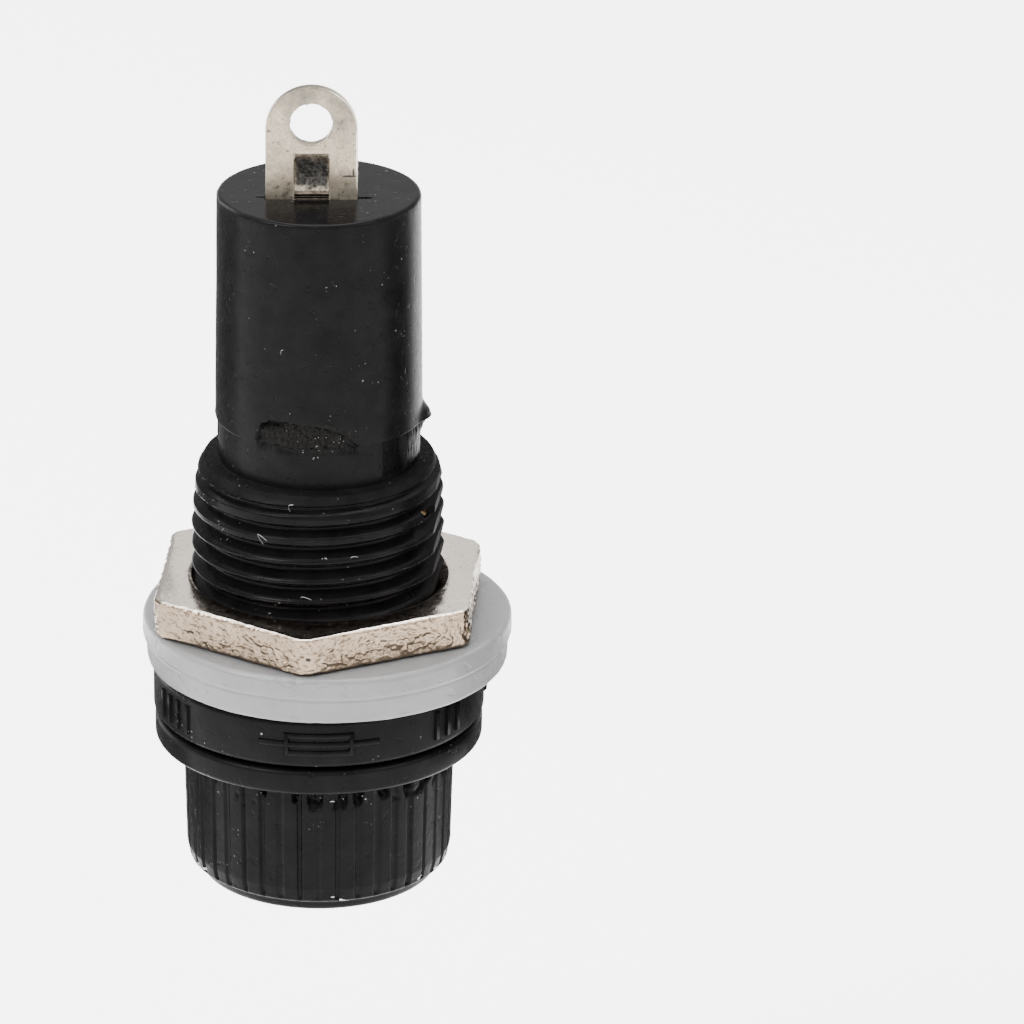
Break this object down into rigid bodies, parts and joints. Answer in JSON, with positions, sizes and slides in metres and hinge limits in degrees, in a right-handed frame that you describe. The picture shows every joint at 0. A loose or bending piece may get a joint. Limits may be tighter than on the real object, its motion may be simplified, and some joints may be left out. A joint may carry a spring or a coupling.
{
  "type": "cartridge fuse holder",
  "caption": "Panel-mount cartridge fuse holder with a knurled screw cap, threaded barrel, hex nut, washer and two solder lugs.",
  "frame": {"origin": "on the barrel's axis, in the plane of the bezel's rear face, which seats on the panel", "axes": "+Z from the screw cap at the front to the solder lugs at the rear; the end lug is flat in the XZ plane and +X is the side of the thread's flat"},
  "size_m": [0.0175, 0.0174, 0.0395],
  "materials": {
    "black_phenolic": "satin moulded phenolic",
    "brass": "bright turned and rolled",
    "tinned_brass": "tinned, slightly dull",
    "nickel_plate": "nickel plated",
    "spring_steel": "drawn wire",
    "nylon": "translucent nylon",
    "glass": "clear tube",
    "fuse_wire": "drawn wire",
    "solder": "solder"
  },
  "bodies": {
    "holder": {"holder_body": "black_phenolic", "contact_sleeve": "brass", "side_terminal": "tinned_brass", "end_terminal": "tinned_brass"},
    "washer": {"nylon_washer": "nylon"},
    "nut": {"hex_nut": "nickel_plate"},
    "rear_contact": {"contact_plunger": "nickel_plate", "contact_spring": "spring_steel"},
    "fuse": {"fuse_front_ferrule": "nickel_plate", "fuse_rear_ferrule": "nickel_plate", "fuse_glass_tube": "glass", "fuse_wire": "fuse_wire", "fuse_front_solder": "solder", "fuse_rear_solder": "solder"},
    "cap": {"screw_cap": "black_phenolic", "carrier_sleeve": "brass", "carrier_clip": "nickel_plate", "carrier_pin": "brass"}
  },
  "joints": [
    {"name": "washer_slide", "type": "slide", "parent": "holder", "child": "washer", "axis": [0, 0, 1], "range_m": [0, 0.0075]},
    {"name": "nut_turn", "type": "hinge", "parent": "washer", "child": "nut", "pos_m": [0, 0, 0.0034], "axis": [0, 0, 1], "range_deg": [0, 2700]},
    {"name": "fuse_slide", "type": "slide", "parent": "holder", "child": "fuse", "axis": [0, 0, -1], "range_m": [0, 0.024]},
    {"name": "cap_turn", "type": "hinge", "parent": "fuse", "child": "cap", "pos_m": [0, 0, -0.005], "axis": [0, 0, -1], "range_deg": [0, 5760]},
    {"name": "contact_press", "type": "slide", "parent": "holder", "child": "rear_contact", "axis": [0, 0, 1], "range_m": [0, 0.0006], "stiffness_N_per_m": 1000, "springref_m": -0.0012, "deforming": ["contact_spring"]}
  ],
  "couplings": [
    {"joint": "nut_turn", "follows": "washer_slide", "rad_per_m": 6283.2},
    {"joint": "cap_turn", "follows": "fuse_slide", "rad_per_m": 4188.8}
  ]
}
